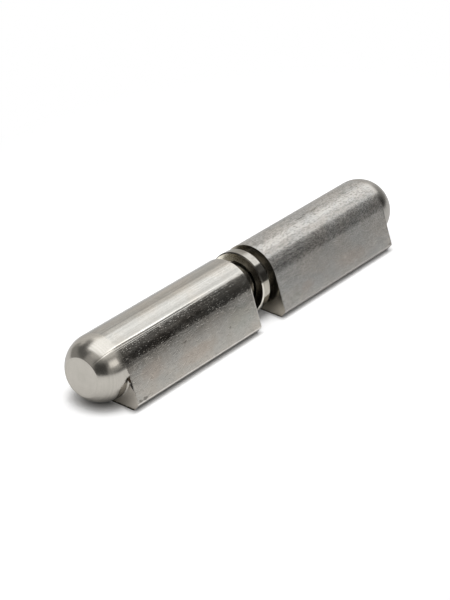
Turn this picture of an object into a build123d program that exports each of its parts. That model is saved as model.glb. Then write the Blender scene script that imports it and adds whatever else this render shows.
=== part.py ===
from build123d import *
from math import cos, radians, sin, tan
import os

# A lift-off barrel hinge for welding, in millimetres. +X runs along the pin towards the leaf
# that holds it, and +Z is up. The hinge lies on the lower flank of both leaves, slightly
# pulled apart. The origin is on the ground, under the middle of the hinge's box.

# Drawn teardrop bar: a round barrel with two flanks that meet in a blunted edge
barrel_diameter = 18.0
edge_half_angle = 35.0
edge_setback = 1.75  # from the sharp corner to the blunt edge, along the bisector
barrel_wall = 3.0  # round the pin

# One leaf, from its inner face to the end of its nose
leaf_length = 58.5
nose_length = 7.4
nose_flat_diameter = 10.8
turning_depth = 0.05  # taken off the barrel's radius where the nose is turned
shoulder_radius = 0.6

# Pin
pin_seat_depth = 30.0
pin_reach = 42.0  # beyond the inner face of the leaf that holds it
pin_seat_chamfer = 0.5
pin_lead_chamfer = 1.2
running_clearance = 0.05  # on the radius
end_clearance = 1.0  # past the pin's end with the hinge closed
bore_mouth_chamfer = 0.4
drill_half_angle = 59.0

# Spacer ring
ring_thickness = 3.0
ring_bore_clearance = 0.5  # on the radius
ring_chamfer = 0.3
ring_bore_chamfer = 0.15

# Gaps at rest
lift_off_gap = 4.65  # from the lift-off leaf to the ring
pin_leaf_gap = 2.85  # from the ring to the leaf that holds the pin

barrel_radius = barrel_diameter / 2
pin_radius = barrel_radius - barrel_wall
running_bore_radius = pin_radius + running_clearance
running_bore_depth = pin_reach - ring_thickness + end_clearance
inner_face_x = (lift_off_gap + ring_thickness + pin_leaf_gap) / 2
ring_centre_x = inner_face_x - pin_leaf_gap - ring_thickness / 2

# The sharp corner of the bar's section, seen from the barrel's axis
flank_run = barrel_radius / tan(radians(edge_half_angle))
edge_trim = edge_setback / cos(radians(edge_half_angle))
edge_angle = radians(2 * edge_half_angle)
edge_low = Vector(edge_trim - flank_run, -barrel_radius)
edge_high = Vector(
    edge_trim * cos(edge_angle) - flank_run,
    edge_trim * sin(edge_angle) - barrel_radius,
)

# The box reaches from the blunt edge's foremost corner to the back of the barrel
front_reach = max(-edge_low.X, -edge_high.X)
axis_y = (front_reach - barrel_radius) / 2
axis_z = barrel_radius


def bar_section():
    """The teardrop, on the plane across the axis."""
    lower_tangent = Vector(0, -barrel_radius)
    upper_tangent = Vector(
        flank_run * cos(edge_angle) - flank_run,
        flank_run * sin(edge_angle) - barrel_radius,
    )
    back = Vector(
        barrel_radius * cos(radians(edge_half_angle)),
        barrel_radius * sin(radians(edge_half_angle)),
    )
    flanks = Polyline(lower_tangent, edge_low, edge_high, upper_tangent)
    barrel = ThreePointArc(upper_tangent, back, lower_tangent)
    return Plane.YZ * make_face(flanks + barrel)


def turned_envelope():
    """What the lathe leaves of the bar: a flat-ended dome, a hollow shoulder and the full bar."""
    flat_radius = nose_flat_diameter / 2
    turned_radius = barrel_radius - turning_depth
    dome_length = nose_length - shoulder_radius
    drop = turned_radius - flat_radius
    dome_radius = (dome_length**2 + drop**2) / (2 * drop)
    outside = 2 * (barrel_radius + flank_run)
    dome_end = Vector(dome_length, turned_radius)
    shoulder_end = Vector(nose_length, turned_radius + shoulder_radius)
    shoulder_centre = Vector(dome_length, turned_radius + shoulder_radius)
    shoulder_middle = shoulder_centre + Vector(shoulder_radius, 0).rotate(Axis.Z, -45)
    profile = (
        Line((0, 0), (0, flat_radius))
        + RadiusArc((0, flat_radius), dome_end, dome_radius)
        + ThreePointArc(dome_end, shoulder_middle, shoulder_end)
        + Polyline(
            shoulder_end,
            (nose_length, outside),
            (leaf_length, outside),
            (leaf_length, 0),
            (0, 0),
        )
    )
    return revolve(Plane.XZ * make_face(profile), Axis.X, 360)


def blind_bore(radius, depth):
    """A drilled hole along -X from the inner face at leaf_length, with its pointed bottom."""
    bottom = leaf_length - depth
    point = bottom - radius / tan(radians(drill_half_angle))
    profile = Polyline(
        (point, 0),
        (bottom, radius),
        (leaf_length - bore_mouth_chamfer, radius),
        (leaf_length, radius + bore_mouth_chamfer),
        (leaf_length, 0),
        (point, 0),
    )
    return revolve(Plane.XZ * make_face(profile), Axis.X, 360)


def leaf(bore):
    """A leaf with its nose end at x = 0 and its inner face at x = leaf_length."""
    bar = extrude(bar_section(), leaf_length, dir=(1, 0, 0))
    return (bar & turned_envelope()) - bore


def hinge_pin():
    """The pin, from the bottom of its seat to its free end, with x = 0 at the seat's mouth."""
    profile = Polyline(
        (-pin_reach, 0),
        (-pin_reach, pin_radius - pin_lead_chamfer),
        (pin_lead_chamfer - pin_reach, pin_radius),
        (pin_seat_depth - pin_seat_chamfer, pin_radius),
        (pin_seat_depth, pin_radius - pin_seat_chamfer),
        (pin_seat_depth, 0),
        (-pin_reach, 0),
    )
    return revolve(Plane.XZ * make_face(profile), Axis.X, 360)


def spacer_ring():
    """The loose ring, centred on x = 0."""
    half = ring_thickness / 2
    bore = pin_radius + ring_bore_clearance
    profile = Polyline(
        (-half, bore + ring_bore_chamfer),
        (-half, barrel_radius - ring_chamfer),
        (ring_chamfer - half, barrel_radius),
        (half - ring_chamfer, barrel_radius),
        (half, barrel_radius - ring_chamfer),
        (half, bore + ring_bore_chamfer),
        (half - ring_bore_chamfer, bore),
        (ring_bore_chamfer - half, bore),
        (-half, bore + ring_bore_chamfer),
    )
    return revolve(Plane.XZ * make_face(profile), Axis.X, 360)


running_bore = blind_bore(running_bore_radius, running_bore_depth)
press_bore = blind_bore(pin_radius, pin_seat_depth)
parts = {
    "lift_off_leaf": Pos(X=-inner_face_x - leaf_length) * leaf(running_bore),
    "pin_leaf": Pos(X=inner_face_x) * mirror(Pos(X=-leaf_length) * leaf(press_bore), Plane.YZ),
    "hinge_pin": Pos(X=inner_face_x) * hinge_pin(),
    "spacer_ring": Pos(X=ring_centre_x) * spacer_ring(),
}

os.makedirs("parts", exist_ok=True)
for name, piece in parts.items():
    export_step(Pos(Y=axis_y, Z=axis_z) * piece, f"parts/{name}.step")
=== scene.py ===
from math import asin, cos, pi, radians, sin, tan

import bmesh
import bpy
from mathutils import Matrix, Vector


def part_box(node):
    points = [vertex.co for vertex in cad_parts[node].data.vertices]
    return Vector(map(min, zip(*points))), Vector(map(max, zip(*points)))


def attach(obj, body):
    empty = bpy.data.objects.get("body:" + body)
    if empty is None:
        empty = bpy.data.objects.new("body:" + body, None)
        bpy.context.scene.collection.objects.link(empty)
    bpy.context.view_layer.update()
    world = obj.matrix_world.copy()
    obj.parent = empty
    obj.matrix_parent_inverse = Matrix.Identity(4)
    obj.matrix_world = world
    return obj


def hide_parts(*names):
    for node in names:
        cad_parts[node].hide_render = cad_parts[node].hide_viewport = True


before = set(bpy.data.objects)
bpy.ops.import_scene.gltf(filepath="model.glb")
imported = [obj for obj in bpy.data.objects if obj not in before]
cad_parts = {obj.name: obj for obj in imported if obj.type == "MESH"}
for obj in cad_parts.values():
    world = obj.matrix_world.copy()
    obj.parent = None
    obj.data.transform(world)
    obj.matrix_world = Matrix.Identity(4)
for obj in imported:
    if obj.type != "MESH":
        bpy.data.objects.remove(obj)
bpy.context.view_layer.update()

# Sizes in metres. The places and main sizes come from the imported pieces.
MM = 0.001
ring_low, ring_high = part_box("spacer_ring")
near_low, near_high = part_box("lift_off_leaf")
far_low, far_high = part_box("pin_leaf")
pin_low, pin_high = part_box("hinge_pin")

BARREL_RADIUS = (ring_high.z - ring_low.z) / 2
PIN_RADIUS = (pin_high.z - pin_low.z) / 2
AXIS_Y = (ring_low.y + ring_high.y) / 2
AXIS_Z = (ring_low.z + ring_high.z) / 2
LEAF_LENGTH = near_high.x - near_low.x

# Drawn bar
EDGE_HALF_ANGLE = radians(35)
EDGE_SETBACK = 1.75 * MM
EDGE_ROUNDING = 0.4 * MM
EDGE_REACH = BARREL_RADIUS / sin(EDGE_HALF_ANGLE) - EDGE_SETBACK
EDGE_FLANK = BARREL_RADIUS / tan(EDGE_HALF_ANGLE) - EDGE_SETBACK / cos(EDGE_HALF_ANGLE)
# From the blunt edge round to where a flank meets the barrel, and the way the edge points
FLANK_TURN = pi / 2 - EDGE_HALF_ANGLE
EDGE_DIRECTION = -pi / 2 - FLANK_TURN

# Turned nose
NOSE_LENGTH = 7.4 * MM
NOSE_START = far_high.x - NOSE_LENGTH
NOSE_FLAT_RADIUS = 5.4 * MM
TURNING_DEPTH = 0.01 * MM
SHOULDER_RADIUS = 0.42 * MM
RIM_BREAK = 0.08 * MM

# Where the lathe tool has torn the near leaf's tail end, along its upper flank
UNDERCUT_START = 2.4 * MM
UNDERCUT_STOP = 7.8 * MM
UNDERCUT_WIDTH = 0.85 * MM
UNDERCUT_DEPTH = 0.4 * MM

# Holes, pin and ring
RUNNING_CLEARANCE = 0.05 * MM
RUNNING_BORE_DEPTH = 40 * MM
SEAT_DEPTH = pin_high.x - far_low.x
MOUTH_CHAMFER = 0.4 * MM
DRILL_HALF_ANGLE = radians(59)
PIN_LEAD_CHAMFER = 1.2 * MM
PIN_SEAT_CHAMFER = 0.5 * MM
RING_BORE_RADIUS = PIN_RADIUS + 0.5 * MM
RING_OUTER_CHAMFER = 0.3 * MM
RING_BORE_CHAMFER = 0.15 * MM
RING_FACE_ROOM = 0.01 * MM

# How fine the meshes are: points round a leaf and round the pin and ring, and how much closer
# the leaf's points stand near the blunt edge
AROUND_LEAF = 360
AROUND_SMALL = 240
CROWDING = 0.72
NEAR_AN_END = 3 * MM
SAME_PLACE = 0.001 * MM
CORNER = radians(28)
# Further out, or deeper, than any point of the hinge
NO_LIMIT = 1.0


class Value:
    """A socket that takes part in sums: each operator adds the node that works it out."""

    def __init__(self, tree, socket):
        self.tree = tree
        self.socket = socket

    def __add__(self, other):
        return self.tree.math("ADD", self, other)

    __radd__ = __add__

    def __sub__(self, other):
        return self.tree.math("SUBTRACT", self, other)

    def __rsub__(self, other):
        return self.tree.math("SUBTRACT", other, self)

    def __mul__(self, other):
        return self.tree.math("MULTIPLY", self, other)

    __rmul__ = __mul__

    def __truediv__(self, other):
        return self.tree.math("DIVIDE", self, other)

    def __pow__(self, other):
        return self.tree.math("POWER", self, other)

    def __abs__(self):
        return self.tree.math("ABSOLUTE", self)

    def out(self, name):
        """Another output of the same node."""
        return Value(self.tree, self.socket.node.outputs[name])


class Tree:
    """A node tree that is written as sums of its values."""

    def __init__(self, node_tree):
        self.node_tree = node_tree

    def add(self, kind, settings=None, inputs=None, output=0):
        """Adds a node: its settings first, then the values or links of its sockets."""
        node = self.node_tree.nodes.new(kind)
        for name, value in (settings or {}).items():
            setattr(node, name, value)
        for name, value in (inputs or {}).items():
            socket = node.inputs[name]
            if isinstance(value, Value):
                self.node_tree.links.new(value.socket, socket)
            else:
                socket.default_value = value
        return Value(self, node.outputs[output]) if len(node.outputs) else node

    def math(self, operation, *values):
        return self.add("ShaderNodeMath", {"operation": operation}, dict(enumerate(values)))

    def vector(self, x, y, z):
        return self.add("ShaderNodeCombineXYZ", {}, {"X": x, "Y": y, "Z": z})

    def split(self, vector):
        parts = self.add("ShaderNodeSeparateXYZ", {}, {"Vector": vector})
        return parts, parts.out("Y"), parts.out("Z")

    def ramp(self, value, low, high, out_low=0.0, out_high=1.0):
        """A smooth step from low to high."""
        settings = {"interpolation_type": "SMOOTHSTEP"}
        inputs = {"Value": value, "From Min": low, "From Max": high}
        inputs.update({"To Min": out_low, "To Max": out_high})
        return self.add("ShaderNodeMapRange", settings, inputs)

    def blend(self, factor, first, second):
        """A colour between two colours."""
        inputs = {0: factor, 6: first, 7: second}
        return self.add("ShaderNodeMix", {"data_type": "RGBA"}, inputs, output=2)

    def noise(self, x, y, z, detail, roughness=0.5):
        """Noise whose features are about 1 apart in x, y and z."""
        place = self.vector(x, y, z)
        inputs = {"Vector": place, "Scale": 1.0, "Detail": detail, "Roughness": roughness}
        return self.add("ShaderNodeTexNoise", {"noise_dimensions": "3D"}, inputs)


# Meshes: every piece is a profile turned about the hinge's axis


def spaced(start, stop, steps):
    """Numbers from start to stop, both included, in equal steps."""
    return [start + (stop - start) * i / steps for i in range(steps + 1)]


def arc(centre, radius, start, stop, steps):
    """Points (x, r) of an arc about centre, from angle start to stop."""
    angles = spaced(start, stop, steps)
    return [(centre[0] + radius * cos(a), centre[1] + radius * sin(a)) for a in angles]


def turned_tree():
    """Turns a profile about the hinge's axis, and keeps it within the teardrop bar.

    A point of the profile is x along the axis, z from the axis, and y the depth under the bar's
    skin past which it isn't pulled in. A point far out lies on the bar's skin.
    """
    group = bpy.data.node_groups.new("turned_piece", "GeometryNodeTree")
    face = group.interface
    face.new_socket("Geometry", in_out="OUTPUT", socket_type="NodeSocketGeometry")
    face.new_socket("Profile", in_out="INPUT", socket_type="NodeSocketGeometry")
    for name, kind in (
        ("Barrel radius", "NodeSocketFloat"),
        ("Flank turn", "NodeSocketFloat"),
        ("Edge reach", "NodeSocketFloat"),
        ("Edge rounding", "NodeSocketFloat"),
        ("Around", "NodeSocketInt"),
        ("Crowding", "NodeSocketFloat"),
        ("Material", "NodeSocketMaterial"),
    ):
        face.new_socket(name, in_out="INPUT", socket_type=kind)
    tree = Tree(group)
    given = tree.add("NodeGroupInput")
    profile = given.out("Profile")
    around = given.out("Around")
    size = tree.add("GeometryNodeAttributeDomainSize", {"component": "MESH"}, {0: profile})
    columns = around + 1
    grid_inputs = {"Vertices X": size.out("Point Count"), "Vertices Y": columns}
    grid = tree.add("GeometryNodeMeshGrid", {}, grid_inputs)
    index = tree.add("GeometryNodeInputIndex")
    row = tree.math("FLOOR", (index + 0.5) / columns)
    column = index - row * columns
    place = tree.add("GeometryNodeInputPosition")
    sample_settings = {"data_type": "FLOAT_VECTOR", "domain": "POINT"}
    sample_inputs = {"Geometry": profile, "Value": place, "Index": row}
    point = tree.add("GeometryNodeSampleIndex", sample_settings, sample_inputs)
    along, depth, out = tree.split(point)

    # The columns stand closer together near the bar's blunt edge
    share = column / around
    turn = share * (2 * pi) - given.out("Crowding") * tree.math("SINE", share * (2 * pi))
    off_edge = tree.math("MINIMUM", turn, 2 * pi - turn)

    # The bar's skin: barrel, flanks tangent to it and the blunt edge
    to_flank = tree.math("MAXIMUM", given.out("Flank turn") - off_edge, 0.0)
    flank = given.out("Barrel radius") / tree.math("COSINE", to_flank)
    ahead = tree.math("MAXIMUM", tree.math("COSINE", off_edge), 0.2)
    blunt = given.out("Edge reach") / ahead
    skin = tree.math("SMOOTH_MIN", flank, blunt, given.out("Edge rounding"))
    reach = tree.math("MAXIMUM", tree.math("MINIMUM", out, skin), skin - depth)

    angle = turn + EDGE_DIRECTION
    y = reach * tree.math("COSINE", angle) + AXIS_Y
    z = reach * tree.math("SINE", angle) + AXIS_Z
    set_inputs = {"Geometry": grid, "Position": tree.vector(along, y, z)}
    shaped = tree.add("GeometryNodeSetPosition", {}, set_inputs)
    closed_inputs = {"Geometry": shaped, "Distance": SAME_PLACE}
    closed = tree.add("GeometryNodeMergeByDistance", {}, closed_inputs)
    smooth = tree.add("GeometryNodeSetShadeSmooth", {}, {"Geometry": closed})
    whole = tree.add("GeometryNodeRealizeInstances", {}, {"Geometry": smooth})
    made_inputs = {"Geometry": whole, "Material": given.out("Material")}
    made = tree.add("GeometryNodeSetMaterial", {}, made_inputs)
    result = group.nodes.new("NodeGroupOutput")
    group.links.new(made.socket, result.inputs["Geometry"])
    return group


def plain_mesh(piece):
    """The piece's modifiers made into its mesh, faces outwards, true corners kept sharp."""
    finished = piece.evaluated_get(bpy.context.evaluated_depsgraph_get())
    made = bpy.data.meshes.new_from_object(finished)
    piece.modifiers.clear()
    piece.data = made
    shape = bmesh.new()
    shape.from_mesh(made)
    bmesh.ops.dissolve_degenerate(shape, dist=SAME_PLACE / 10, edges=shape.edges)
    bmesh.ops.recalc_face_normals(shape, faces=shape.faces)
    shape.to_mesh(made)
    shape.free()
    made.set_sharp_from_angle(angle=CORNER)
    return piece


def turned_piece(name, profile, material, section, around, crowding):
    """A piece from its profile, points (x, r, depth), and the section of the bar it lies in."""
    line = bpy.data.meshes.new(name + "_profile")
    points = [(x, depth, r) for x, r, depth in profile]
    line.from_pydata(points, [(i, i + 1) for i in range(len(points) - 1)], [])
    piece = bpy.data.objects.new(name, line)
    bpy.context.scene.collection.objects.link(piece)
    modifier = piece.modifiers.new("turned", "NODES")
    modifier.node_group = TURNED
    values = {
        "Barrel radius": section[0],
        "Flank turn": section[1],
        "Edge reach": section[2],
        "Edge rounding": section[3],
        "Around": around,
        "Crowding": crowding,
        "Material": material,
    }
    for socket in TURNED.interface.items_tree:
        if socket.name in values:
            modifier[socket.identifier] = values[socket.name]
    piece.update_tag()
    bpy.context.view_layer.update()
    return plain_mesh(piece)


def leaf_profile(bore_radius, bore_depth):
    """A leaf from the middle of its nose flat, over its skin and inner face, to its bore's end.

    The rows stand closer together near both ends of the skin.
    """
    free = NO_LIMIT
    turned_radius = BARREL_RADIUS - TURNING_DEPTH
    dome_length = NOSE_LENGTH - SHOULDER_RADIUS
    drop = turned_radius - NOSE_FLAT_RADIUS
    dome_radius = (dome_length**2 + drop**2) / (2 * drop)
    dome_turn = asin(dome_length / dome_radius)
    # The nose: its flat, its dome and the hollow shoulder
    rows = [(0, r, free) for r in spaced(0, NOSE_FLAT_RADIUS - RIM_BREAK / 2, 6)]
    centre = (dome_length, turned_radius - dome_radius)
    dome = arc(centre, dome_radius, pi / 2 + dome_turn * 0.99, pi / 2, 40)
    rows += [(x, r, free) for x, r in dome]
    centre = (dome_length, turned_radius + SHOULDER_RADIUS)
    shoulder = arc(centre, SHOULDER_RADIUS, -pi / 2, 0, 10)
    rows += [(x, r, free) for x, r in shoulder[1:]]
    # The tail end, from deep under the skin out to its broken rim
    shoulder_end = turned_radius + SHOULDER_RADIUS
    rows += [(NOSE_LENGTH, shoulder_end, d) for d in spaced(3 * MM, 1 * MM, 4)]
    rows += [(NOSE_LENGTH, shoulder_end, d) for d in spaced(0.85 * MM, RIM_BREAK, 6)]
    rows += [(NOSE_LENGTH + RIM_BREAK * (1 - cos(a)), shoulder_end, RIM_BREAK * (1 - sin(a)))
             for a in (pi / 6, pi / 3)]
    # The skin, and the inner end's broken rim
    start = NOSE_LENGTH + RIM_BREAK
    stop = LEAF_LENGTH - RIM_BREAK
    rows += [(x, free, 0) for x in spaced(start, start + NEAR_AN_END, 10)]
    rows += [(x, free, 0) for x in spaced(start + NEAR_AN_END, stop - NEAR_AN_END, 40)[1:-1]]
    rows += [(x, free, 0) for x in spaced(stop - NEAR_AN_END, stop, 8)]
    rows += [(LEAF_LENGTH - RIM_BREAK * (1 - cos(a)), 0, RIM_BREAK * (1 - sin(a)))
             for a in (pi / 3, pi / 6)]
    rows += [(LEAF_LENGTH, 0, RIM_BREAK)]
    # The inner face and the bore
    mouth = bore_radius + MOUTH_CHAMFER
    rows += [(LEAF_LENGTH, r, free) for r in spaced(BARREL_RADIUS - 2 * RIM_BREAK, mouth, 5)]
    bottom = LEAF_LENGTH - bore_depth
    rows += [(LEAF_LENGTH - MOUTH_CHAMFER, bore_radius, free)]
    rows += [(x, bore_radius, free) for x in spaced(LEAF_LENGTH - 2 * MOUTH_CHAMFER, bottom, 12)]
    rows += [(bottom - bore_radius / tan(DRILL_HALF_ANGLE), 0, free)]
    return rows


def pin_profile():
    """The pin, from its lead end to the bottom of its seat, in the frame's own x."""
    free = NO_LIMIT
    lead, seat = pin_low.x, pin_high.x
    rows = [(lead, r, free) for r in spaced(0, PIN_RADIUS - PIN_LEAD_CHAMFER, 4)]
    shank = spaced(lead + PIN_LEAD_CHAMFER, seat - PIN_SEAT_CHAMFER, 30)
    rows += [(x, PIN_RADIUS, free) for x in shank]
    rows += [(seat, r, free) for r in spaced(PIN_RADIUS - PIN_SEAT_CHAMFER, 0, 4)]
    return rows


def ring_profile():
    """The ring's section, closed on itself, in the frame's own x.

    Its faces stand back a little, because the lift-off leaf comes to rest against one.
    """
    free = NO_LIMIT
    left, right = ring_low.x + RING_FACE_ROOM, ring_high.x - RING_FACE_ROOM
    outer, inner = BARREL_RADIUS, RING_BORE_RADIUS
    c, b = RING_OUTER_CHAMFER, RING_BORE_CHAMFER
    rows = [(left, r, free) for r in spaced(inner + b, outer - c, 4)]
    rows += [(x, outer, free) for x in spaced(left + c, right - c, 4)]
    rows += [(right, r, free) for r in spaced(outer - c, inner + b, 4)]
    rows += [(right - b, inner, free), (left + b, inner, free), (left, inner + b, free)]
    return rows


# Finishes


def new_material(name):
    material = bpy.data.materials.new(name)
    material.use_nodes = True
    material.node_tree.nodes.clear()
    return material, Tree(material.node_tree)


def give(tree, shader):
    out = tree.node_tree.nodes.new("ShaderNodeOutputMaterial")
    tree.node_tree.links.new(shader.socket, out.inputs["Surface"])


def steel(tree, colour, roughness, height):
    """Bare steel. The height is in thousandths of a millimetre."""
    bump_inputs = {"Strength": 1.0, "Distance": 0.001 * MM, "Height": height}
    bump = tree.add("ShaderNodeBump", {}, bump_inputs)
    inputs = {"Base Color": colour, "Metallic": 1.0, "Roughness": roughness, "Normal": bump,
              "Specular Tint": EDGE_ON_TINT}
    give(tree, tree.add("ShaderNodeBsdfPrincipled", {}, inputs))


def colour(red, green, blue):
    return (red, green, blue, 1.0)


def tinted(tree, base, tint):
    """Multiplies two colours."""
    settings = {"data_type": "RGBA", "blend_type": "MULTIPLY"}
    return tree.add("ShaderNodeMix", settings, {0: 1.0, 6: base, 7: tint}, output=2)


def marked(tree, base, mask, tint):
    """The base colour, multiplied by the tint where the mask is 1."""
    return tinted(tree, base, tree.blend(mask, WHITE, tint))


def from_axis(tree):
    """Object coordinates about the hinge's axis: x, y, z and the distance from it."""
    x, y, z = tree.split(tree.add("ShaderNodeTexCoord", output="Object"))
    y = y - AXIS_Y
    z = z - AXIS_Z
    return x, y, z, (y * y + z * z) ** 0.5


def across_bar(y, z):
    """A point across the bar, in numbers or Values: towards the blunt edge, and beside that."""
    ahead = y * cos(EDGE_DIRECTION) + z * sin(EDGE_DIRECTION)
    beside = z * cos(EDGE_DIRECTION) - y * sin(EDGE_DIRECTION)
    return ahead, beside


def down_flank(ahead, beside):
    """How far down its flank a point lies, from where the barrel turns into it."""
    return ahead * cos(EDGE_HALF_ANGLE) - abs(beside) * sin(EDGE_HALF_ANGLE)


def under_flank(ahead, beside):
    """How deep a point lies under the plane of its flank."""
    return BARREL_RADIUS - ahead * cos(FLANK_TURN) - abs(beside) * sin(FLANK_TURN)


def over_skin(tree, ahead, beside):
    """How far round the bar's skin a point lies, and 1 on the upper half.

    The run is 0 where the barrel turns into a flank and grows towards the blunt edge.
    """
    turn = tree.math("ARCTAN2", abs(beside), ahead)
    barrel = tree.math("MAXIMUM", turn - FLANK_TURN, 0.0) * BARREL_RADIUS
    run = tree.math("MAXIMUM", down_flank(ahead, beside), 0.0) - barrel
    return run, tree.math("LESS_THAN", beside, 0.0)


def undercut_width(run):
    """The width of the lathe tool's undercut in the tail end, beside the upper flank.

    It is pointed at both ends and widest at a third of its length, where the product of shares
    is 4 / 27. The run is a number or a Value.
    """
    share = (run - UNDERCUT_START) / (UNDERCUT_STOP - UNDERCUT_START)
    return share * (1 - share) * (1 - share) * (27 / 4 * UNDERCUT_WIDTH)


def blotch(tree, x, run, ragged, middle, half):
    """1 in a ragged oval on the skin: its middle (x, run) and half sizes are in millimetres."""
    along = (x - middle[0] * MM) / (half[0] * MM)
    across = (run - middle[1] * MM) / (half[1] * MM)
    off = (along * along + across * across) ** 0.5
    return tree.ramp(off + ragged, 0.45, 1.25, 1.0, 0.0) * tree.ramp(off, 0.9, 1.3, 1.0, 0.0)


def scored(tree, x, run, place, start, stop, half_width):
    """1 along a lengthwise line on the skin, from x = start to stop, in millimetres."""
    near = tree.ramp(abs(run - place * MM), 0.0, half_width * MM, 1.0, 0.0)
    begun = tree.ramp(x, (start - 1.5) * MM, (start + 1.5) * MM)
    ended = tree.ramp(x, (stop - 6) * MM, (stop + 6) * MM, 1.0, 0.0)
    return near * begun * ended


def scratched(tree, x, run, upper):
    """1 on short scratches at three slants, which differ on the upper and lower flank."""
    slanted = []
    for slant, seed in ((0.12, 0.0), (-0.45, 31.0), (1.15, 57.0)):
        lengthwise = x * cos(slant) + run * sin(slant)
        sideways = run * cos(slant) - x * sin(slant)
        streak = tree.noise(lengthwise * 260 + seed, sideways * 2400, upper * 13, 1.0)
        slanted.append(tree.ramp(streak, 0.65, 0.71))
    return tree.math("MAXIMUM", tree.math("MAXIMUM", slanted[0], slanted[1]), slanted[2])


def torn(tree, x, ahead, beside, run, upper):
    """1 in the undercut beside the tail end's upper edge."""
    depth = under_flank(ahead, beside)
    under = tree.ramp(depth - undercut_width(run), -0.05 * MM, 0.05 * MM, 1.0, 0.0)
    under = under * tree.ramp(depth, 0.04 * MM, 0.09 * MM)
    under = under * tree.math("LESS_THAN", run, UNDERCUT_STOP)
    return under * tree.ramp(abs(x), NOSE_START - 0.9 * MM, NOSE_START - 0.7 * MM) * upper


def drawn_steel(name, look):
    """Stainless bar: drawn along its length, turned at the nose and faced at its ends."""
    material, tree = new_material(name)
    x, y, z, distance = from_axis(tree)
    ahead, beside = across_bar(y, z)
    run, upper = over_skin(tree, ahead, beside)
    normal_x = abs(tree.split(tree.add("ShaderNodeTexCoord", output="Normal"))[0])
    turned = tree.ramp(abs(x), NOSE_START - 0.04 * MM, NOSE_START - 0.02 * MM)
    faced = tree.ramp(normal_x, 0.9, 0.97)
    inner_half = tree.ramp(abs(x), LEAF_LENGTH / 2, LEAF_LENGTH * 0.6, 1.0, 0.0)
    inner_end = faced * (1 - turned) * inner_half
    at_tail = tree.ramp(abs(x), NOSE_START, NOSE_START + 0.5 * MM, 1.0, 0.0)
    tail_end = faced * turned * at_tail

    # Long lines of drawing in three widths, clouds, stains and grit, so many to the metre
    fine = tree.noise(x * 60, y * 4300, z * 4300, 2.0)
    middle = tree.noise(x * 45, y * 1700, z * 1700, 3.0)
    broad = tree.noise(x * 14, y * 430, z * 430, 2.0)
    cloud = tree.noise(x * 330, y * 420, z * 420, 4.0, 0.62)
    stain = tree.noise(x * 95 + 7, y * 160, z * 160, 3.0, 0.6)
    grit = tree.noise(x * 950, y * 2400, z * 2400, 3.0, 0.6)
    specks = tree.ramp(grit, 0.62, 0.7)
    pits = tree.ramp(grit, 0.3, 0.36, 1.0, 0.0)
    scratches = scratched(tree, x, run, upper)
    # Rings of turning on the nose and of facing on the ends
    grooves = tree.noise(x * 5200, distance * 5200, 0.0, 2.0)
    rings = tree.noise(x * 1500, distance * 1500, 3.0, 2.0)

    # The nose's finish begins raggedly, where the lathe tool left the barrel's skin
    ragged_x = abs(x) + (cloud - 0.5) * 2.2 * MM
    off_bar = tree.ramp(ragged_x, NOSE_START - 0.5 * MM, NOSE_START + 0.5 * MM)
    nose = off_bar * (1 - tail_end)
    drawn = (1 - off_bar) * (1 - faced)

    # The flank is a little crowned, and less lined than the barrel
    on_flank = tree.ramp(run, -1.2 * MM, 1.2 * MM)
    lined = 1 - look["flank_smooth"] * on_flank
    off_middle = run / (EDGE_FLANK / 2) - 1
    crown = tree.math("MAXIMUM", 1 - off_middle * off_middle, 0.0) * look["crown"]
    # Where the barrel turns into the flank, the skin is the most broken up
    turned_over = tree.ramp(run, -6.0 * MM, -4.6 * MM)
    turned_over = turned_over * tree.ramp(run, 0.2 * MM, 1.8 * MM, 1.0, 0.0)
    rough_skin = look["specks"] + look["mottle"] * turned_over + look["flank_specks"] * on_flank
    # The barrel's light side is the smoothest
    rubbed = 1 - look["rubbed"] * (1 - on_flank) * (1 - turned_over)

    height = (fine * look["fine"] + middle * look["middle"] + broad * look["broad"]) * lined
    height = height + cloud * rubbed * look["cloud"] + (specks - pits) * rough_skin
    height = height - scratches * rubbed * SCRATCH_DEPTH
    height = drawn * (height + crown) + nose * (grooves * NOSE_GROOVES + rings * NOSE_RINGS)
    height = height + faced * grooves * FACED_GROOVES

    grain = look["grain"] + (look["flank_grain"] - look["grain"]) * on_flank
    tone = ((fine - 0.5) * 0.5 + (middle - 0.5) * 0.7) * lined
    tone = tone + (cloud - 0.5) * rubbed * look["clouding"]
    tone = tone + (grit - 0.5) * grain + scratches * rubbed * look["scratched"]
    tone = tree.ramp(tone + 0.5, 0.15, 0.85)
    skin = tree.blend(tone, look["dark"], look["light"])
    warmth = tree.ramp(stain, 0.36, 0.64)
    skin = tinted(tree, skin, tree.blend(warmth, SKIN_COOL, SKIN_WARM))
    pepper = tree.ramp(grit, 0.36, 0.5, 1.0, 0.0) * (1 - on_flank) * look["pepper"]
    skin = marked(tree, skin, pepper, PEPPER)

    dust = tree.noise(x * 8200, y * 9400, z * 9400, 1.0)
    hazy = tree.ramp(dust, 0.98 - look["hazy"], 1.02 - look["hazy"])
    roughness = look["rough"] + (cloud - 0.5) * rubbed * look["patchy"] + hazy * look["haze"]
    faced_roughness = faced * (1 - nose) * FACED_ROUGHNESS
    roughness = drawn * roughness + nose * look["nose_rough"] + faced_roughness

    # The blunt edge's corners and the inner end's rim are worn bright
    ragged_run = run + (cloud - 0.5) * (0.5 * MM)
    worn = tree.ramp(ragged_run, EDGE_FLANK - 0.45 * MM, EDGE_FLANK - 0.1 * MM)
    from_rim = abs(x) + near_high.x + (grit - 0.5) * (0.5 * MM)
    rim = tree.ramp(from_rim, 0.12 * MM, 0.4 * MM, 1.0, 0.0)
    worn = tree.math("MAXIMUM", worn * 0.8, rim * look["rim_wear"])
    skin = tree.blend(worn, skin, look["worn"])

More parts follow.
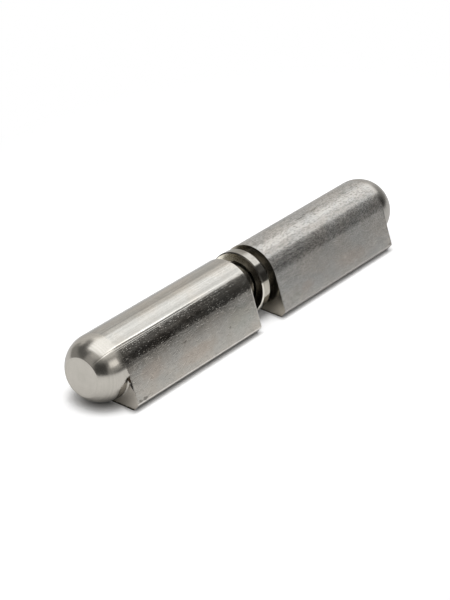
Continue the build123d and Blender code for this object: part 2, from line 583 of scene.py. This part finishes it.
    nose_tone = tree.ramp(rings * 0.6 + cloud * 0.4, 0.35, 0.65)
    turned_skin = tree.blend(nose_tone, look["nose_dark"], look["nose_light"])
    end_skin = tree.blend(cloud, look["end_dark"], look["end_light"])
    tail_skin = tree.blend(cloud, TAIL_DARK, TAIL_LIGHT)
    shade = tree.blend(nose, skin, turned_skin)
    shade = tree.blend(inner_end, shade, end_skin)
    shade = tree.blend(tail_end, shade, tail_skin)

    # A burr where the flank ends at the nose, and painted contact shade along the foot, where the
    # bar meets the table
    burr = tree.ramp(abs(x), NOSE_START - 0.5 * MM, NOSE_START - 0.15 * MM)
    burr = burr * (1 - turned) * on_flank
    shade = marked(tree, shade, burr * look["burr"], STAINED)
    above_ground = z + AXIS_Z
    contact_shade_top = above_ground + (grit - 0.5) * (0.4 * MM)
    shade = marked(tree, shade, tree.ramp(contact_shade_top, 0.2 * MM, 0.55 * MM, 1.0, 0.0), PAINTED_CONTACT_SHADE)
    foot_shade_top = above_ground + (grit - 0.5) * (0.6 * MM)
    foot_shade = tree.ramp(foot_shade_top, 0.3 * MM, 0.75 * MM, 1.0, 0.0) * tail_end
    shade = marked(tree, shade, foot_shade, PAINTED_CONTACT_SHADE)

    # Marks seen on this leaf only; the scores carry painted light and shade
    for place, half, raggedness, tint in look["blotches"]:
        ragged = ((grit - 0.5) * 1.4 + (cloud - 0.5) * 0.8) * raggedness
        spot = blotch(tree, x, run, ragged, place, half) * upper
        shade = marked(tree, shade, spot, tint)
    # Scores: bumped lines whose tints paint their light and shade, and, where the depth is 0,
    # painted bands of light or shade
    for place, start, stop, half_width, depth, tint in look["scores_and_painted_bands"]:
        line = scored(tree, x, run, place, start, stop, half_width) * upper
        height = height - line * depth
        shade = marked(tree, shade, line, tint)
    # The torn wedge is sunk into the bar and also painted near black there, as painted shade in
    # the recess
    under = torn(tree, x, ahead, beside, run, upper)
    shade = tree.blend(under * look["undercut"], shade, UNDERCUT_SHADE)
    steel(tree, shade, roughness, height)
    return material


def turned_steel(name, band, top, faces, rough, groove_depth):
    """A small turned piece: its skin, painted darker on top as shade, its two flat ends and fine
    rings round all.

    The chamfer at its left end has painted shade on top and painted light below.
    """
    material, tree = new_material(name)
    x, y, z, distance = from_axis(tree)
    normal_x = tree.split(tree.add("ShaderNodeTexCoord", output="Normal"))[0]
    left_end = tree.ramp(normal_x, -0.95, -0.85, 1.0, 0.0)
    right_end = tree.ramp(normal_x, 0.85, 0.95)
    left_chamfer = tree.ramp(normal_x, -0.6, -0.4, 1.0, 0.0)
    grooves = tree.noise(x * 6000, distance * 6000, 0.0, 2.0)
    smudge = tree.noise(x * 500, y * 500, z * 500, 4.0, 0.6)
    grit = tree.noise(x * 2600, y * 2600, z * 2600, 2.0)
    # Painted shade: the skin is darker on top than below
    shade = tree.blend(tree.ramp(z, 3 * MM, 5 * MM), band, top)
    # Painted light and shade on the left chamfer: dark on top, bright below
    chamfer_painted_light = tree.blend(tree.ramp(z, 3 * MM, 7 * MM), CHAMFER_LOW_PAINTED_LIGHT, CHAMFER_TOP_PAINTED_SHADE)
    shade = tree.blend(left_chamfer, shade, chamfer_painted_light)
    # Painted light and shade: the left end is dark in front and light at the back
    left_face_painted_light = tree.blend(tree.ramp(y, -5 * MM, 1.5 * MM), faces[0], faces[1])
    shade = tree.blend(left_end, shade, left_face_painted_light)
    shade = tree.blend(right_end, shade, faces[2])
    smudged = tree.blend(tree.ramp(smudge, 0.35, 0.65), SMUDGE_DARK, SMUDGE_LIGHT)
    shade = tinted(tree, shade, smudged)
    shade = marked(tree, shade, tree.ramp(grit, 0.24, 0.3, 1.0, 0.0), PITS)
    roughness = rough + (smudge - 0.5) * 0.1 + (left_end + right_end) * 0.12
    steel(tree, shade, roughness, grooves * groove_depth)
    return material


# Studio


def seen_by_mirror_rays(tree):
    """1 for rays from the camera and for those that metal and glass send on."""
    path = tree.add("ShaderNodeLightPath", output="Is Camera Ray")
    both = tree.math("MAXIMUM", path, path.out("Is Glossy Ray"))
    return tree.math("MAXIMUM", both, path.out("Is Transmission Ray"))


def studio_world():
    world = bpy.data.worlds.new("studio")
    bpy.context.scene.world = world
    world.use_nodes = True
    world.node_tree.nodes.clear()
    tree = Tree(world.node_tree)
    fill = tree.add("ShaderNodeBackground", {}, {"Color": WHITE, "Strength": FILL})
    white = tree.add("ShaderNodeBackground", {}, {"Color": WHITE, "Strength": 1.0})
    mixed = tree.add("ShaderNodeMixShader", {}, {0: seen_by_mirror_rays(tree), 1: fill, 2: white})
    out = world.node_tree.nodes.new("ShaderNodeOutputWorld")
    world.node_tree.links.new(mixed.socket, out.inputs["Surface"])


def floor():
    """A white table. Its shadow stays near the hinge, and further out it is plain white.

    It is lifted a little towards white between the two, less so for mirror rays, and painted
    darker under each nose as shadow, for the camera only.
    """
    material, tree = new_material("table")
    x, y, z = tree.split(tree.add("ShaderNodeTexCoord", output="Object"))
    beyond = tree.math("MAXIMUM", abs(x) - far_high.x + NOSE_LENGTH, 0.0)
    ahead = (near_low.y + SHADOW_INSET - y) * FADE_AHEAD
    ahead = tree.math("MAXIMUM", tree.math("MAXIMUM", ahead, y - SHADOW_BEHIND), 0.0)
    from_bar = (beyond * beyond * FADE_PAST_END + ahead * ahead) ** 0.5
    beside = y - AXIS_Y
    from_nose = (beyond * beyond + beside * beside) ** 0.5
    round_nose = tree.math("MAXIMUM", from_nose - SHADOW_ROUND_NOSE, 0.0)
    away = tree.math("MINIMUM", from_bar, round_nose)
    in_gap = tree.math("MINIMUM", (-near_high.x - abs(x)) * FADE_IN_GAP, 0 - y - SHADOW_IN_GAP)
    away = tree.math("MAXIMUM", away, in_gap)
    seen = seen_by_mirror_rays(tree)
    looked_at = tree.add("ShaderNodeLightPath", output="Is Camera Ray")
    # Painted shadow: the table is darker under each nose, for the camera only
    painted_shadow = tree.ramp(from_nose, 3 * MM, 6.5 * MM, 1.0, 0.0) * tree.ramp(beyond, 0.0, 1 * MM)
    grey_with_painted_shadow = tree.blend(painted_shadow * looked_at, TABLE_GREY, PAINTED_SHADOW_UNDER_NOSE)
    white = tree.add("ShaderNodeBsdfDiffuse", {}, {"Color": grey_with_painted_shadow})
    lift = tree.ramp(away, 0.0, 4 * MM, 0.0, TABLE_LIFT)
    lift = lift * (TABLE_LIFT_MIRRORED + (1 - TABLE_LIFT_MIRRORED) * looked_at)
    lifted = tree.add("ShaderNodeEmission", {}, {"Color": WHITE, "Strength": lift * seen})
    near = tree.add("ShaderNodeAddShader", {}, {0: white, 1: lifted})
    plain = tree.add("ShaderNodeEmission", {}, {"Color": WHITE, "Strength": 1.0})
    far = tree.ramp(away, 0.03, 0.12) * seen
    give(tree, tree.add("ShaderNodeMixShader", {}, {0: far, 1: near, 2: plain}))
    s = TABLE_HALF
    mesh = bpy.data.meshes.new("table")
    mesh.from_pydata([(-s, -s, 0), (s, -s, 0), (s, s, 0), (-s, s, 0)], [], [(0, 1, 2, 3)])
    mesh.materials.append(material)
    piece = bpy.data.objects.new("table", mesh)
    bpy.context.scene.collection.objects.link(piece)


def softbox():
    """A wide lamp overhead, a little towards the far leaf.

    Mirror rays see it in the surroundings.
    """
    lamp = bpy.data.lights.new("softbox", "AREA")
    lamp.shape = "RECTANGLE"
    left, right = BOX_ENDS
    lamp.size = (right - left) * BOX_HEIGHT
    lamp.size_y = 2 * BOX_HALF_DEPTH * BOX_HEIGHT
    lamp.energy = BOX_BRIGHTNESS * pi * lamp.size * lamp.size_y
    piece = bpy.data.objects.new("softbox", lamp)
    bpy.context.scene.collection.objects.link(piece)
    piece.location = ((left + right) / 2 * BOX_HEIGHT, 0, BOX_HEIGHT)
    piece.visible_glossy = False


def surroundings():
    """The dim studio round the table and the softbox above it, which only mirror rays see."""
    material, tree = new_material("surroundings")
    x, y, z = tree.split(tree.add("ShaderNodeTexCoord", output="Object"))
    azimuth = tree.math("ARCTAN2", x, 0 - y) * (180 / pi)
    elevation = tree.math("ARCTAN2", z, (x * x + y * y) ** 0.5) * (180 / pi)
    level = SURROUNDINGS_LEVEL
    for middle, rise, half_width, half_height, soft_side, soft, brightness in SCREENS:
        off = abs(tree.math("WRAP", azimuth - middle, 180.0, -180.0))
        across = tree.ramp(off, half_width - soft_side, half_width + soft_side, 1.0, 0.0)
        up = tree.ramp(abs(elevation - rise), half_height - soft, half_height + soft, 1.0, 0.0)
        level = level + (brightness - level) * across * up
    height = tree.math("MAXIMUM", z, 0.001)
    lit = 1.0
    for place, (edge, soft) in (
        (0 - y / height, LAMP_FRONT),
        (y / height, LAMP_BACK),
        (0 - x / height, LAMP_LEFT),
        (x / height, LAMP_RIGHT),
    ):
        lit = tree.ramp(place, edge + soft, edge - soft) * lit
    level = level + (LAMP_LEVEL - level) * lit
    glow = tree.blend(lit, ROOM_GLOW, LAMP_GLOW)
    give(tree, tree.add("ShaderNodeEmission", {}, {"Color": glow, "Strength": level}))
    rows, columns, radius = DOME_ROWS, DOME_COLUMNS, DOME_RADIUS
    corners = []
    for i in range(rows):
        e = pi / 2 * i / rows
        for j in range(columns):
            a = 2 * pi * j / columns
            corners.append((radius * sin(a) * cos(e), -radius * cos(a) * cos(e), radius * sin(e)))
    faces = [(i * columns + j, i * columns + (j + 1) % columns,
              (i + 1) * columns + (j + 1) % columns, (i + 1) * columns + j)
             for i in range(rows - 1) for j in range(columns)]
    faces.append([(rows - 1) * columns + j for j in range(columns)])
    mesh = bpy.data.meshes.new("surroundings")
    mesh.from_pydata(corners, [], faces)
    mesh.materials.append(material)
    piece = bpy.data.objects.new("surroundings", mesh)
    bpy.context.scene.collection.objects.link(piece)
    piece.visible_camera = False
    piece.visible_diffuse = False
    piece.visible_shadow = False
    piece.visible_transmission = False


# The photograph's camera, about the middle of the gap on the hinge's axis
CAMERA_AZIMUTH = radians(-52.635)
CAMERA_ELEVATION = radians(28.842)
CAMERA_ROLL = radians(-0.958)
CAMERA_DISTANCE = 0.57710
CAMERA_RIGHT = 3.563 * MM
CAMERA_DOWN = -4.566 * MM
FOCAL_PIXELS = 2152.2
IMAGE_HEIGHT = 600
SENSOR = 36.0


def photo_camera():
    lens = bpy.data.cameras.new("camera")
    lens.sensor_width = SENSOR
    lens.lens = FOCAL_PIXELS * SENSOR / IMAGE_HEIGHT
    lens.clip_start = 0.01
    lens.clip_end = 20
    camera = bpy.data.objects.new("camera", lens)
    bpy.context.scene.collection.objects.link(camera)
    a, e = CAMERA_AZIMUTH, CAMERA_ELEVATION
    back = Vector((sin(a) * cos(e), -cos(a) * cos(e), sin(e)))
    turn = back.to_track_quat("Z", "Y").to_matrix() @ Matrix.Rotation(-CAMERA_ROLL, 3, "Z")
    right, up = turn.col[0], turn.col[1]
    middle = Vector((0, AXIS_Y, AXIS_Z))
    eye = middle + back * CAMERA_DISTANCE - right * CAMERA_RIGHT + up * CAMERA_DOWN
    camera.matrix_world = Matrix.Translation(eye) @ turn.to_4x4()
    bpy.context.scene.camera = camera


# The table's shadow: where it ends ahead of the hinge, behind it, round a nose and in the gap,
# and how much faster it fades in three of those places
SHADOW_INSET = 0.7 * MM
SHADOW_BEHIND = 5 * MM
SHADOW_ROUND_NOSE = 6.3 * MM
SHADOW_IN_GAP = 4.2 * MM
FADE_AHEAD = 3.0
FADE_PAST_END = 3.2
FADE_IN_GAP = 2.5

# The studio: half the table, its lift towards white, and the dome and lamp
WHITE = colour(1, 1, 1)
FILL = 0.5
TABLE_HALF = 3.0
TABLE_LIFT = 0.38
TABLE_LIFT_MIRRORED = 0.65
TABLE_GREY = colour(0.93, 0.93, 0.93)
# The table's painted shadow under each nose
PAINTED_SHADOW_UNDER_NOSE = colour(0.42, 0.42, 0.42)
DOME_ROWS = 30
DOME_COLUMNS = 96
DOME_RADIUS = 0.5
ROOM_GLOW = colour(1.0, 0.985, 0.96)
LAMP_GLOW = colour(0.985, 0.998, 1.012)
BOX_HEIGHT = 1.0
BOX_ENDS = (-0.62, 1.0)
BOX_HALF_DEPTH = 0.5
BOX_BRIGHTNESS = 1.4
LAMP_LEVEL = 1.97
# The lamp as mirror rays see it: each edge's place at a height of 1, and its softness
LAMP_FRONT = (0.505, 0.035)
LAMP_BACK = (0.57, 0.16)
LAMP_LEFT = (0.5, 0.1)
LAMP_RIGHT = (2.0, 0.3)
SURROUNDINGS_LEVEL = 0.38
# Screens: azimuth from -Y towards +X, elevation, half width, half height, softness sideways
# and up and down, all in degrees, and brightness
SCREENS = (
    (145, 12, 46, 27, 5, 5, 0.94),
    (135, 3, 40, 9, 10, 7, 0.94),
    (128, 62, 36, 22, 12, 11, 1.4),
    (-165, 14, 20, 13, 4, 4, 0.4),
    (-143, 40, 29, 15, 6, 5, 0.17),
    (-143, 56, 40, 8, 6, 4, 0.3),
    (-95, 38, 18, 18, 7, 6, 0.5),
    (-70, 57, 36, 9, 8, 5, 0.75),
    (-53, 18, 24, 20, 9, 8, 0.08),
    (6, 12, 36, 15, 6, 5, 0.42),
    (5, 62, 50, 14, 6, 3, 0.9),
    (10, 44, 40, 5, 6, 3, 0.45),
    (-4, 30, 19, 9, 5, 5, 1.55),
    (49, 12, 26, 16, 10, 8, 0.06),
    (56, 36, 19, 9, 4, 5, 0.12),
)

photo_camera()
studio_world()
floor()
softbox()
surroundings()

TURNED = turned_tree()

# How steel's colour darkens at a glancing view, and the roughness of its faced ends
EDGE_ON_TINT = colour(0.7, 0.7, 0.7)
FACED_ROUGHNESS = 0.24

# Depths in thousandths of a millimetre
SCRATCH_DEPTH = 4.0
NOSE_GROOVES = 3.0
NOSE_RINGS = 1.5
FACED_GROOVES = 2.0

# Colours of the tail ends, and tints that a mark multiplies the steel's colour by
TAIL_DARK = colour(0.38, 0.355, 0.315)
TAIL_LIGHT = colour(0.47, 0.435, 0.39)
SKIN_COOL = colour(0.985, 1.0, 1.0)
SKIN_WARM = colour(1.02, 1.0, 0.97)
PEPPER = colour(0.72, 0.72, 0.72)
SMUDGE_DARK = colour(0.86, 0.85, 0.84)
SMUDGE_LIGHT = colour(1.1, 1.1, 1.1)
PITS = colour(0.6, 0.58, 0.55)
STAINED = colour(0.8, 0.79, 0.78)
SHADED = colour(0.89, 0.89, 0.89)
DARK_MARK = colour(0.5, 0.49, 0.48)
WARM = colour(1.02, 0.975, 0.95)
COOL = colour(0.94, 0.965, 0.955)
BLACK_MARK = colour(0.4, 0.39, 0.38)
BRIGHT_MARK = colour(1.3, 1.3, 1.3)
LIGHT_SPECKS = colour(1.6, 1.6, 1.6)
# Painted contact shade: darkens the bar's foot and the tail end's lower edge, where they meet the
# table
PAINTED_CONTACT_SHADE = colour(0.22, 0.21, 0.2)
# Painted shade for the undercut's recess
UNDERCUT_SHADE = colour(0.03, 0.022, 0.015)

# How each leaf differs: the drawn skin's darkest and lightest colour, its worn edges, its nose
# and its inner end, then how rough, lined, gritty and stained it is. Heights, from specks to
# crown, are in thousandths of a millimetre.
# A blotch: its middle (x, run), half sizes, raggedness and tint. A score: run, start, stop,
# half width, depth in thousandths and tint. Their lengths are in millimetres.
# A score's tint paints its light and shade, and a score of depth 0 is only a painted band of
# light or shade
# The undercut key sets how strongly the painted shade darkens the torn wedge
NEAR_LOOK = {
    "dark": colour(0.34, 0.325, 0.30), "light": colour(0.445, 0.425, 0.395),
    "nose_dark": colour(0.425, 0.405, 0.365), "nose_light": colour(0.47, 0.445, 0.405),
    "worn": colour(0.66, 0.64, 0.6), "rough": 0.13, "patchy": 0.16, "haze": 0.05,
    "end_dark": colour(0.09, 0.08, 0.06), "end_light": colour(0.14, 0.125, 0.1),
    "nose_rough": 0.2, "rim_wear": 0.15, "undercut": 1.0, "scratched": 0.6,
    "grain": 0.3, "flank_grain": 1.1, "rubbed": 0.65, "pepper": 0.1, "burr": 0.0,
    "specks": 0.9, "mottle": 13.0, "flank_specks": 2.4, "flank_smooth": 0.6, "hazy": 0.5,
    "fine": 1.7, "middle": 2.2, "broad": 2.4, "cloud": 3.5, "clouding": 1.1, "crown": 45.0,
    "blotches": (
        ((-32, 7.0), (8, 2.2), 1.0, WARM),
        ((-12, 5.0), (7, 3.5), 1.0, COOL),
        ((-48, 4.5), (5, 2.5), 1.0, WARM),
        ((-34.5, 2.7), (0.7, 0.2), 0.5, DARK_MARK),
        ((-17, 5.9), (0.35, 0.3), 0.5, DARK_MARK),
        ((-45, 2.7), (0.25, 0.9), 0.5, BRIGHT_MARK),
        ((-44, -1.9), (0.4, 0.35), 0.5, BRIGHT_MARK),
        ((-54.2, 10.0), (1.7, 0.45), 3.5, DARK_MARK),
        ((-9, 0.6), (4.5, 1.2), 5.0, BRIGHT_MARK),
        ((-42, -1.4), (15, 1.7), 5.0, LIGHT_SPECKS),
        ((-45, -1.6), (10.5, 1.4), 4.0, BLACK_MARK),
        ((-30, -2.4), (5, 0.8), 4.0, DARK_MARK),
    ),
    "scores_and_painted_bands": (
        (-5.2, -58, -26, 0.24, 14.0, colour(0.35, 0.35, 0.35)),
        (-5.65, -58, -14, 0.24, -9.0, colour(1.4, 1.4, 1.4)),
        (-4.7, -58, -38, 0.16, 10.0, colour(0.7, 0.7, 0.7)),
        (-11.2, -57, -15, 0.3, 4.0, colour(0.9, 0.9, 0.9)),
        (-8.9, -57, -5, 0.25, 2.0, colour(0.94, 0.94, 0.94)),
        (-5.35, -62.8, -50, 0.3, 16.0, colour(1.3, 1.3, 1.3)),
        (-6.7, -57, -5, 1.1, 0.0, colour(0.84, 0.84, 0.84)),
        (-13.4, -55, -4, 1.5, 0.0, colour(1.18, 1.18, 1.18)),
        (-10.4, -55, -4, 0.8, 0.0, colour(1.2, 1.2, 1.2)),
        (-3.9, -58, -38, 0.8, 0.0, colour(1.4, 1.4, 1.4)),
        (-5.6, -60, -36, 0.5, 0.0, colour(1.4, 1.4, 1.4)),
        (0.1, -60, -14, 0.8, 0.0, colour(0.75, 0.75, 0.75)),
        (0.1, -60, -36, 0.7, 0.0, colour(0.7, 0.7, 0.7)),
        (-4.6, -24, -4, 0.2, 5.0, colour(1.25, 1.25, 1.25)),
        (-3.9, -27, -6, 0.2, 6.0, colour(1.35, 1.35, 1.35)),
        (-3.3, -29, -6, 0.18, 6.0, colour(0.75, 0.75, 0.75)),
        (-2.7, -24, -8, 0.2, 4.0, colour(0.8, 0.8, 0.8)),
    ),
}
FAR_LOOK = {
    "dark": colour(0.36, 0.35, 0.335), "light": colour(0.48, 0.465, 0.445),
    "nose_dark": colour(0.36, 0.345, 0.32), "nose_light": colour(0.41, 0.39, 0.36),
    "worn": colour(0.49, 0.47, 0.445), "rough": 0.18, "patchy": 0.12, "haze": 0.42,
    "end_dark": colour(0.31, 0.285, 0.24), "end_light": colour(0.39, 0.355, 0.3),
    "nose_rough": 0.27, "rim_wear": 0.35, "undercut": 0.0, "scratched": 0.25,
    "grain": 1.3, "flank_grain": 0.6, "rubbed": 0.0, "pepper": 0.8, "burr": 2.2,
    "specks": 2.6, "mottle": 0.0, "flank_specks": -1.4, "flank_smooth": 0.3, "hazy": 0.505,
    "fine": 2.9, "middle": 4.0, "broad": 3.4, "cloud": 5.0, "clouding": 0.7, "crown": 15.0,
    "blotches": (
        ((17, 7.4), (3.0, 1.6), 1.0, WARM),
        ((37, 7.2), (7.5, 2.2), 1.0, WARM),
        ((11, 8.4), (2.5, 1.4), 1.0, COOL),
        ((35, 6.2), (0.7, 0.3), 0.5, BRIGHT_MARK),
        ((47, -2.0), (0.5, 0.4), 0.5, BRIGHT_MARK),
        ((31, -11.3), (5.5, 0.3), 1.0, STAINED),
        ((27, -10.7), (2.2, 0.22), 1.0, DARK_MARK),
        ((34, -10.9), (2.4, 0.2), 1.0, DARK_MARK),
        ((31, 5.4), (33, 7.0), 1.0, SHADED),
        ((10, -10.6), (5, 1.5), 2.0, SHADED),
        ((55.6, 10.2), (0.8, 0.7), 2.0, BLACK_MARK),
    ),
    "scores_and_painted_bands": (
        (-3.9, 5, 22, 0.2, 6.0, colour(0.8, 0.8, 0.8)),
        (-2.8, 5, 21, 0.2, 6.0, colour(0.76, 0.76, 0.76)),
        (-1.7, 5, 24, 0.25, 6.0, colour(0.72, 0.72, 0.72)),
        (-6.4, 5, 56, 1.6, 0.0, colour(0.84, 0.83, 0.82)),
    ),
}
NEAR_STEEL = drawn_steel("near_leaf_steel", NEAR_LOOK)
FAR_STEEL = drawn_steel("far_leaf_steel", FAR_LOOK)

# The small turned pieces
# The ring chamfer's painted shade on top and painted light below
CHAMFER_TOP_PAINTED_SHADE = colour(0.17, 0.16, 0.14)
CHAMFER_LOW_PAINTED_LIGHT = colour(0.68, 0.655, 0.59)
GROUND = colour(0.56, 0.55, 0.52)
PIN_STEEL = turned_steel("pin_steel", GROUND, GROUND, (GROUND, GROUND, GROUND), 0.2, 1.5)
# The ring's left face in front, in painted shade, and at the back, in painted light, and its
# right face
RING_FACES_WITH_PAINTED_LIGHT = (colour(0.16, 0.145, 0.12), colour(0.8, 0.765, 0.66), colour(0.12, 0.11, 0.09))
RING_BAND = colour(0.42, 0.4, 0.35)
# The ring's top, in painted shade
RING_TOP_PAINTED_SHADE = colour(0.33, 0.315, 0.285)
RING_STEEL = turned_steel("ring_steel", RING_BAND, RING_TOP_PAINTED_SHADE, RING_FACES_WITH_PAINTED_LIGHT, 0.12, 1.0)

# Sections that a piece lies in: barrel radius, flank turn, edge reach and edge rounding
BAR = (BARREL_RADIUS, FLANK_TURN, EDGE_REACH, EDGE_ROUNDING)
ROUND = (NO_LIMIT, 0.0, NO_LIMIT, 0.0)


def fitted(piece, node, body):
    """The piece stands for its node, whose imported part is hidden, and moves with its body."""
    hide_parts(node)
    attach(piece, body)


def undercut(piece, tail_x):
    """Sinks the torn wedge of the tail end into the bar."""
    for vertex in piece.data.vertices:
        x, y, z = vertex.co
        if abs(x - tail_x) > SAME_PLACE:
            continue
        ahead, beside = across_bar(y - AXIS_Y, z - AXIS_Z)
        run = down_flank(ahead, beside)
        inside = RIM_BREAK * 1.2 < under_flank(ahead, beside) < undercut_width(run)
        if beside < 0 and UNDERCUT_START < run < UNDERCUT_STOP and inside:
            vertex.co.x = x + UNDERCUT_DEPTH
    return piece


def near_leaf():
    rows = leaf_profile(PIN_RADIUS + RUNNING_CLEARANCE, RUNNING_BORE_DEPTH)
    rows = [(near_low.x + x, r, d) for x, r, d in rows]
    bar = turned_piece("lift_off_leaf_bar", rows, NEAR_STEEL, BAR, AROUND_LEAF, CROWDING)
    return undercut(bar, near_low.x + NOSE_LENGTH)


def far_leaf():
    rows = leaf_profile(PIN_RADIUS, SEAT_DEPTH)
    rows = [(far_high.x - x, r, d) for x, r, d in rows]
    return turned_piece("pin_leaf_bar", rows, FAR_STEEL, BAR, AROUND_LEAF, CROWDING)


fitted(near_leaf(), "lift_off_leaf", "lift_off_leaf")
fitted(far_leaf(), "pin_leaf", "pin_leaf")
pin = turned_piece("hinge_pin_ground", pin_profile(), PIN_STEEL, ROUND, AROUND_SMALL, 0.0)
fitted(pin, "hinge_pin", "pin_leaf")
ring = turned_piece("spacer_ring_turned", ring_profile(), RING_STEEL, ROUND, AROUND_SMALL, 0.0)
fitted(ring, "spacer_ring", "spacer_ring")

bpy.context.scene.view_settings.view_transform = "Standard"
